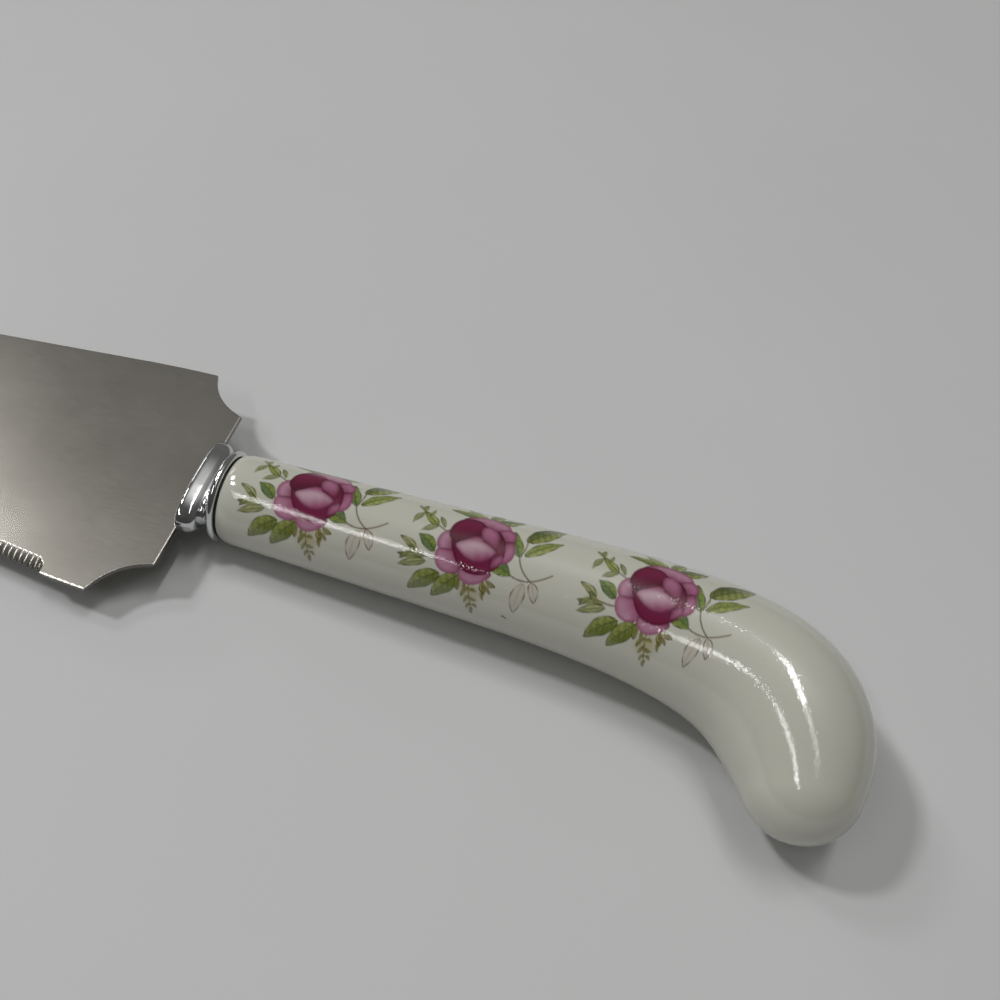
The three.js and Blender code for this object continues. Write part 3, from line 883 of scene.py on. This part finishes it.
def gap_to_line(x, y, a, b):
    """Distance of points to the straight line from a to b."""
    step = b - a
    share = np.clip(((x - a[0]) * step[0] + (y - a[1]) * step[1]) / (step @ step), 0, 1)
    return np.hypot(x - a[0] - share * step[0], y - a[1] - share * step[1])


def draw_stem(canvas, x, y, start, bend, end, colour):
    path = quadratic(np.array(start), np.array(bend), np.array(end), STEM_STEPS)
    gap = np.full(len(x), np.inf)
    for a, b in zip(path, path[1:]):
        gap = np.minimum(gap, gap_to_line(x, y, a, b))
    lay(canvas, colour, STEM_COVER * (1 - ramp(gap, STEM_WIDTH / 4, STEM_WIDTH)))


def closed_curve(corners, steps=8):
    """A smooth closed line through corners."""
    corners = np.array(corners, float)
    t = np.linspace(0, 1, steps, endpoint=False)[:, None]
    before, after, beyond = (np.roll(corners, shift, axis=0) for shift in (1, -1, -2))
    curve = []
    for p, q, r, s in zip(before, corners, after, beyond):
        slope_q, slope_r = (r - p) / 2, (s - q) / 2
        curve.append(
            (2 * t**3 - 3 * t**2 + 1) * q
            + (t**3 - 2 * t**2 + t) * slope_q
            + (3 * t**2 - 2 * t**3) * r
            + (t**3 - t**2) * slope_r
        )
    return np.concatenate(curve)


def inside_depth(x, y, outline):
    """Distance to a closed outline, positive inside it."""
    gap = np.full(len(x), np.inf)
    inside = np.zeros(len(x), bool)
    for a, b in zip(outline, np.roll(outline, -1, axis=0)):
        gap = np.minimum(gap, gap_to_line(x, y, a, b))
        crosses = (a[1] > y) != (b[1] > y)
        rise = (b - a)[1] or 1e-9
        inside ^= crosses & (x < a[0] + (y - a[1]) / rise * (b - a)[0])
    return np.where(inside, gap, -gap)


def draw_petal(canvas, x, y, corners, fold, lip, towards):
    """A petal that lightens towards its lip and its middle, with a dark rim."""
    outline = closed_curve(corners)
    depth = inside_depth(x, y, outline)
    towards = np.array(towards) / np.linalg.norm(towards)
    reach = outline @ towards
    share = (x * towards[0] + y * towards[1] - reach.min()) / (reach.max() - reach.min())
    veins = 0.025 * np.sin(4 * (x * towards[1] - y * towards[0]))
    tone = ramp(share + veins, 0.0, 0.75) * (0.45 + 0.55 * ramp(depth, 0, 0.9))
    shade = 1 - 0.55 * (1 - ramp(depth, 0.0, 0.45)) * (1 - 0.75 * ramp(share, 0.35, 0.8))
    lay(canvas, mixed(fold, lip, tone) * shade[:, None], ramp(depth, -SOFT_EDGE, SOFT_EDGE))


def draw_spray(canvas, x, y):
    for middle, radius, colour, cover in WASHES:
        gap = np.hypot(x - middle[0], y - middle[1])
        lay(canvas, colour, cover * (1 - ramp(gap, WASH_CORE * radius, radius)))
    for stem in STEMS:
        draw_stem(canvas, x, y, *stem)
    for leaf in LEAVES:
        draw_leaf(canvas, x, y, *leaf)
    for petal in PETALS:
        draw_petal(canvas, x, y, *petal)


def paint_glaze(mesh, run, over):
    """Colours every point of the handle: bare glaze, or the transfer that is fired on it."""
    colours = np.tile(GLAZE, (len(run), 1))
    for place, side in SPRAY_PLACES:
        near = np.flatnonzero((np.abs(run - place) < SPRAY_REACH) & (np.abs(over - side) < SPRAY_REACH))
        canvas = colours[near]
        draw_spray(canvas, run[near] - place, over[near] - side)
        colours[near] = canvas
    for place, side, size in KILN_SPECKS:
        cover = 1 - ramp(np.hypot(run - place, over - side), size / 2, size)
        lay(colours, BROWN, SPECK_COVER * cover)
    layer = mesh.color_attributes.new("glaze_paint", "FLOAT_COLOR", "POINT")
    rgba = np.concatenate([colours, np.ones((len(run), 1))], axis=1)
    layer.data.foreach_set("color", rgba.astype(np.float32).ravel())


# Materials

# Pairs of colours that a noise blends
STEEL_TINTS = ((0.49, 0.466, 0.415), (0.51, 0.488, 0.438))
CHROME_TINTS = ((0.66, 0.67, 0.68), (0.73, 0.735, 0.74))
JOINT_TINTS = ((0.018, 0.024, 0.021), (0.07, 0.095, 0.085))
CEMENT_TINTS = ((0.40, 0.37, 0.31), (0.56, 0.53, 0.46))
FLOOR_TINTS = ((0.646, 0.654, 0.650), (0.666, 0.675, 0.671))
# Colour of the upright walls of the sheet: painted shade, darker than the steel, in place of the dark shaded
# floor they mirror
STEEL_WALL_PAINTED_SHADE = (0.2, 0.19, 0.18)
GLAZE_IOR = 1.75


def new_material(name, **values):
    """A material of one shader, whose sockets take the given values, and its node tree."""
    material = bpy.data.materials.new(name)
    material.use_nodes = True
    shader = material.node_tree.nodes["Principled BSDF"]
    for socket, value in values.items():
        shader.inputs[socket.replace("_", " ")].default_value = value
    return material, material.node_tree, shader


def add(tree, kind, **values):
    """A node whose attributes or sockets take the given values."""
    node = tree.nodes.new(kind)
    for name, value in values.items():
        if hasattr(node, name):
            setattr(node, name, value)
        else:
            node.inputs[name.replace("_", " ")].default_value = value
    return node


def noise(tree, scale, detail=3, roughness=0.55, stretch=(1, 1, 1)):
    """Noise over the part's own space, with scale in features to the millimetre."""
    place = add(tree, "ShaderNodeTexCoord")
    mapping = add(tree, "ShaderNodeMapping", Scale=tuple(axis / MM for axis in stretch))
    texture = add(tree, "ShaderNodeTexNoise", Scale=scale, Detail=detail, Roughness=roughness)
    tree.links.new(place.outputs["Object"], mapping.inputs["Vector"])
    tree.links.new(mapping.outputs["Vector"], texture.inputs["Vector"])
    return texture.outputs["Fac"]


def spread(tree, value, low, high, from_low=0.3, from_high=0.7):
    """Maps the range of a value, the middle of a noise if no other is given, to the range low to high."""
    node = add(tree, "ShaderNodeMapRange")
    for socket, number in zip(node.inputs[1:5], (from_low, from_high, low, high)):
        socket.default_value = number
    tree.links.new(value, node.inputs["Value"])
    return node.outputs["Result"]


def blend(tree, share, first, second):
    """A colour between two, by share."""
    node = add(tree, "ShaderNodeMix", data_type="RGBA")
    tree.links.new(share, node.inputs[0])
    for socket, colour in zip(node.inputs[6:8], (first, second)):
        if isinstance(colour, bpy.types.NodeSocket):
            tree.links.new(colour, socket)
        else:
            socket.default_value = (*colour, 1)
    return node.outputs[2]


def bump(tree, shader, height, distance):
    """Bump of the given distance in millimetres."""
    node = add(tree, "ShaderNodeBump", Strength=1.0, Distance=distance * MM)
    tree.links.new(height, node.inputs["Height"])
    tree.links.new(node.outputs["Normal"], shader.inputs["Normal"])


def face_share(tree):
    """1 on the faces of the sheet and 0 on its upright walls."""
    geometry = add(tree, "ShaderNodeNewGeometry")
    parts = add(tree, "ShaderNodeSeparateXYZ")
    upright = add(tree, "ShaderNodeMath", operation="ABSOLUTE")
    tree.links.new(geometry.outputs["True Normal"], parts.inputs["Vector"])
    tree.links.new(parts.outputs["Z"], upright.inputs[0])
    return spread(tree, upright.outputs[0], low=0, high=1, from_low=0.25, from_high=0.6)


def steel_material():
    """Satin sheet with a grain along the blade and faint smears, its upright walls painted darker as shade.
    """
    material, tree, shader = new_material("blade_steel", Metallic=1.0)
    grain = noise(tree, scale=1, detail=4, roughness=0.6, stretch=(0.2, 7, 7))
    smears = noise(tree, scale=0.06, detail=3, roughness=0.5)
    tint = blend(tree, spread(tree, smears, low=0, high=1), *STEEL_TINTS)
    # The walls take the darker colour: painted shade, standing in for their reflection of the shaded floor
    tree.links.new(blend(tree, face_share(tree), STEEL_WALL_PAINTED_SHADE, tint), shader.inputs["Base Color"])
    worn = add(tree, "ShaderNodeMath", operation="ADD")
    tree.links.new(spread(tree, grain, low=0.235, high=0.265), worn.inputs[0])
    tree.links.new(spread(tree, smears, low=-0.01, high=0.01), worn.inputs[1])
    tree.links.new(worn.outputs[0], shader.inputs["Roughness"])
    bump(tree, shader, grain, distance=0.0001)
    return material


def chrome_material():
    material, tree, shader = new_material("bolster_chrome", Metallic=1.0)
    haze = noise(tree, scale=0.5, detail=3)
    tint = blend(tree, spread(tree, haze, low=0, high=1), *CHROME_TINTS)
    tree.links.new(tint, shader.inputs["Base Color"])
    tree.links.new(spread(tree, haze, low=0.05, high=0.12), shader.inputs["Roughness"])
    bump(tree, shader, noise(tree, scale=1.4, detail=2), distance=0.0002)
    return material


def joint_material():
    material, tree, shader = new_material("joint_dark")
    grit = noise(tree, scale=3, detail=3)
    tint = blend(tree, spread(tree, grit, low=0, high=1), *JOINT_TINTS)
    tree.links.new(tint, shader.inputs["Base Color"])
    tree.links.new(spread(tree, grit, low=0.35, high=0.7), shader.inputs["Roughness"])
    bump(tree, shader, grit, distance=0.05)
    return material


def porcelain_material():
    material, tree, shader = new_material("porcelain", IOR=GLAZE_IOR)
    paint = add(tree, "ShaderNodeVertexColor", layer_name="glaze_paint")
    cloud = noise(tree, scale=0.12, detail=2)
    tree.links.new(paint.outputs["Color"], shader.inputs["Base Color"])
    tree.links.new(spread(tree, cloud, low=0.05, high=0.08), shader.inputs["Roughness"])
    bump(tree, shader, noise(tree, scale=2.2, detail=2), distance=0.025)
    return material


def cement_material():
    material, tree, shader = new_material("cement")
    grit = noise(tree, scale=1.5, detail=5, roughness=0.65)
    tint = blend(tree, spread(tree, grit, low=0, high=1), *CEMENT_TINTS)
    tree.links.new(tint, shader.inputs["Base Color"])
    tree.links.new(spread(tree, grit, low=0.8, high=0.95), shader.inputs["Roughness"])
    bump(tree, shader, grit, distance=0.15)
    return material


def floor_material():
    material, tree, shader = new_material("pale_floor", Roughness=0.55, Specular_IOR_Level=0.2)
    cloud = noise(tree, scale=0.01, detail=3)
    tint = blend(tree, spread(tree, cloud, low=0, high=1), *FLOOR_TINTS)
    tree.links.new(tint, shader.inputs["Base Color"])
    return material


# Stage

# The camera of the photograph, in the knife's frame, with angles in degrees
CAMERA_PLACE = (66.25, -86.29, 141.01)
CAMERA_AZIMUTH = 9.63
CAMERA_ELEVATION = 54.06
CAMERA_ROLL = 7.83
CAMERA_LENS = 36
CAMERA_SENSOR = 36
CAMERA_NEAREST = 0.01

# Lamps: the middles of two opposite sides in the knife's frame, the width and the radiance
LAMPS = (
    ("left_key", (-956, 92, 1500), (-1136, 92, 1500), 180, 82),
    ("left_tube", (-375, -1115, 1500), (-800, -430, 1500), 60, 15),
    ("top_tube_front", (168, -33, 1500), (470, -515, 1500), 36, 12),
    ("top_tube_middle", (150, 0, 1500), (118, 635, 1500), 64, 28),
    ("back_left_lamp", (-1190, 560, 1500), (-1490, 560, 1500), 300, 14),
    ("left_window", (-2000, 1150, 1000), (-2000, 1650, 1000), 400, 5),
)

# Light of the room, brighter behind the knife than in front of it, with a soft glow from above
ROOM_FRONT = 0.05
ROOM_BACK = 0.14
ROOM_GLOW = 0.85
ROOM_GLOW_FROM = (0.02, 0.27, 0.96)
ROOM_GLOW_POWER = 30
ROOM_COLOUR = (1.0, 0.985, 0.96, 1)
FLOOR_SIZE = 4.0


def make_camera():
    azimuth, elevation = math.radians(CAMERA_AZIMUTH), math.radians(CAMERA_ELEVATION)
    back = Vector(
        (
            math.sin(azimuth) * math.cos(elevation),
            -math.cos(azimuth) * math.cos(elevation),
            math.sin(elevation),
        )
    )
    level = Vector((math.cos(azimuth), math.sin(azimuth), 0))
    upright = back.cross(level)
    roll = math.radians(CAMERA_ROLL)
    right = level * math.cos(roll) + upright * math.sin(roll)
    up = upright * math.cos(roll) - level * math.sin(roll)
    turn = lie @ Matrix((right, up, back)).transposed()
    data = bpy.data.cameras.new("camera")
    data.sensor_width = CAMERA_SENSOR
    data.lens = CAMERA_LENS
    data.clip_start = CAMERA_NEAREST
    camera = bpy.data.objects.new("camera", data)
    camera.matrix_world = Matrix.Translation(knife_matrix @ Vector(CAMERA_PLACE)) @ turn.to_4x4()
    bpy.context.scene.collection.objects.link(camera)
    bpy.context.scene.camera = camera


def add_area_light(name, place, facing, along, length, width, power):
    """A rectangular lamp at place, in metres, that faces a direction, with its length along another."""
    data = bpy.data.lights.new(name, "AREA")
    data.shape = "RECTANGLE"
    data.size = length
    data.size_y = width
    data.energy = power
    lamp = bpy.data.objects.new(name, data)
    back = -facing.normalized()
    right = (along - back * along.dot(back)).normalized()
    turn = Matrix((right, back.cross(right), back)).transposed()
    lamp.matrix_world = Matrix.Translation(place) @ turn.to_4x4()
    bpy.context.scene.collection.objects.link(lamp)


def make_lights():
    for name, start, end, width, radiance in LAMPS:
        start, end = knife_matrix @ Vector(start), knife_matrix @ Vector(end)
        place, length = (start + end) / 2, (end - start).length
        power = radiance * math.pi * length * width * MM
        add_area_light(name, place, -place, end - start, length, width * MM, power)


def room_glow(tree, direction):
    """A soft patch of light in the room, 1 in its middle."""
    towards = add(tree, "ShaderNodeVectorMath", operation="DOT_PRODUCT")
    front = add(tree, "ShaderNodeMath", operation="MAXIMUM")
    narrow = add(tree, "ShaderNodeMath", operation="POWER")
    towards.inputs[1].default_value = Vector(ROOM_GLOW_FROM).normalized()
    front.inputs[1].default_value = 0
    narrow.inputs[1].default_value = ROOM_GLOW_POWER
    tree.links.new(direction, towards.inputs[0])
    tree.links.new(towards.outputs["Value"], front.inputs[0])
    tree.links.new(front.outputs[0], narrow.inputs[0])
    return narrow.outputs[0]


def make_room():
    world = bpy.data.worlds.new("room")
    world.use_nodes = True
    tree = world.node_tree
    direction = add(tree, "ShaderNodeTexCoord").outputs["Generated"]
    parts = add(tree, "ShaderNodeSeparateXYZ")
    tree.links.new(direction, parts.inputs["Vector"])
    level = spread(tree, parts.outputs["Y"], ROOM_FRONT, ROOM_BACK, from_low=-1, from_high=1)
    total = add(tree, "ShaderNodeMath", operation="MULTIPLY_ADD")
    total.inputs[1].default_value = ROOM_GLOW
    tree.links.new(room_glow(tree, direction), total.inputs[0])
    tree.links.new(level, total.inputs[2])
    background = tree.nodes["Background"]
    background.inputs["Color"].default_value = ROOM_COLOUR
    tree.links.new(total.outputs[0], background.inputs["Strength"])
    bpy.context.scene.world = world


def make_floor(height):
    half = FLOOR_SIZE / 2
    corners = [(x * half, y * half, height) for x, y in ((-1, -1), (1, -1), (1, 1), (-1, 1))]
    mesh = bpy.data.meshes.new("floor")
    mesh.from_pydata(corners, [], [(0, 1, 2, 3)])
    mesh.materials.append(floor_material())
    floor = bpy.data.objects.new("floor", mesh)
    bpy.context.scene.collection.objects.link(floor)
    floor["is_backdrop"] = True


# Scene

steel = steel_material()
make_blade(steel)
make_tang(steel)
make_bolster(chrome_material())
make_joint(joint_material())
make_handle(porcelain_material())
cement_node = frame["nodes"]["tang_cement"]
cement_node.data.materials.clear()
cement_node.data.materials.append(cement_material())

make_floor(min(0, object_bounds()[0].z))
make_camera()
make_lights()
make_room()
bpy.context.scene.view_settings.view_transform = "Standard"
